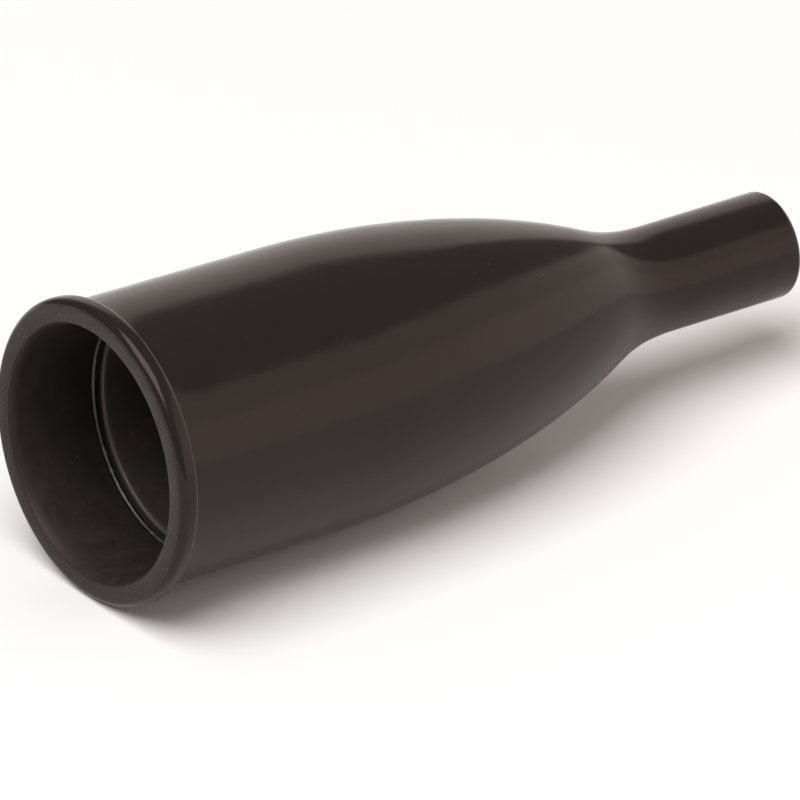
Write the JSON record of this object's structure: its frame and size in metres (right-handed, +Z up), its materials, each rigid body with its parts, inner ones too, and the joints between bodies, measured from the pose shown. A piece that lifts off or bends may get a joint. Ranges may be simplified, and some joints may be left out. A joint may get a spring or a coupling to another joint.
{
  "type": "hand-squeezed dust blower",
  "caption": "Moulded rubber hand blower with a rolled open mouth, a valve cartridge inside it, a long taper and a short tubular spout with a jet bush.",
  "frame": {"origin": "on the table, under the middle of the blower's bounding box, with the blower lying on its side", "axes": "+X from the open mouth to the spout, +Z up; the blower's own axis lies in the XZ plane and leans down by 2.8 degrees towards the spout, because it rests on its lip and on the swell of its barrel"},
  "size_m": [0.1212, 0.0448, 0.0448],
  "materials": {
    "black_rubber": "semi-gloss moulded, slightly warm black",
    "disc_rubber": "matt sheet rubber",
    "blacked_brass": "turned brass, chemically blacked",
    "black_plastic": "satin moulded",
    "blacked_steel": "oil-blackened spring wire",
    "nickel_plate": "nickel-plated, turned",
    "spring_steel": "bright rolled sheet"
  },
  "bodies": {
    "blower": {"rubber_sleeve": "black_rubber", "snap_ring": "blacked_steel", "valve_cup": "blacked_brass", "guide_pin": "nickel_plate", "push_on_clip": "spring_steel", "jet_bush": "black_plastic"},
    "disc": {"valve_disc": "disc_rubber"}
  },
  "joints": [
    {"name": "valve_lift", "type": "slide", "parent": "blower", "child": "disc", "axis": [0.9988, 0, -0.0491], "range_m": [0, 0.0015]}
  ]
}
